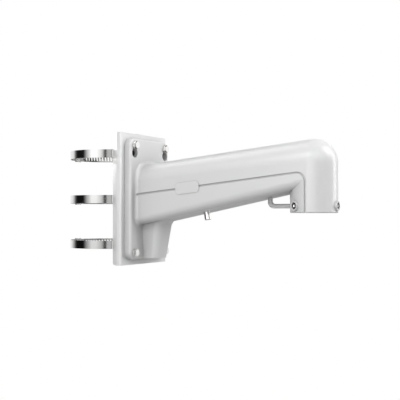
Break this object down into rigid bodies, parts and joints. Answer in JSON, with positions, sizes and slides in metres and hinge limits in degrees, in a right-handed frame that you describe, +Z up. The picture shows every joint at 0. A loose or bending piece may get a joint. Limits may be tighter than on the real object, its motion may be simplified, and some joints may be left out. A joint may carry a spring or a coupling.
{
  "type": "camera pole mount bracket",
  "caption": "Hollow cast arm on a folded pole adapter with worm-drive bands; it bends down to a threaded collar that carries a hanging camera.",
  "frame": {"origin": "on the pole's axis, at the middle height of the middle clamp band", "axes": "+Z up along the pole, +X along the arm from the pole to the camera collar, +Y to the left seen from the pole"},
  "size_m": [0.4551, 0.127, 0.2],
  "materials": {
    "arm_paint": "white powder coat over cast aluminium, very fine orange peel, satin",
    "plate_paint": "white powder coat over folded steel sheet, satin",
    "band_steel": "bright rolled stainless strip",
    "screw_steel": "bright stainless fasteners",
    "setscrew_steel": "stainless set screw with a dark socket"
  },
  "bodies": {
    "root": {"arm_casting": "arm_paint", "adapter_plate": "plate_paint", "clamp_band_top": "band_steel", "clamp_housing_top": "band_steel", "worm_screw_top": "screw_steel", "clamp_band_middle": "band_steel", "clamp_housing_middle": "band_steel", "worm_screw_middle": "screw_steel", "clamp_band_bottom": "band_steel", "clamp_housing_bottom": "band_steel", "worm_screw_bottom": "screw_steel", "base_bolt_upper_left": "screw_steel", "flat_washer_upper_left": "screw_steel", "spring_washer_upper_left": "screw_steel", "base_nut_upper_left": "screw_steel", "base_bolt_upper_right": "screw_steel", "flat_washer_upper_right": "screw_steel", "spring_washer_upper_right": "screw_steel", "base_nut_upper_right": "screw_steel", "base_bolt_lower_left": "screw_steel", "flat_washer_lower_left": "screw_steel", "spring_washer_lower_left": "screw_steel", "base_nut_lower_left": "screw_steel", "base_bolt_lower_right": "screw_steel", "flat_washer_lower_right": "screw_steel", "spring_washer_lower_right": "screw_steel", "base_nut_lower_right": "screw_steel", "collar_setscrew_front": "setscrew_steel", "collar_setscrew_left": "setscrew_steel", "collar_setscrew_right": "setscrew_steel", "underside_screw": "screw_steel", "underside_flat_washer": "screw_steel", "underside_spring_washer": "screw_steel"}
  },
  "joints": []
}
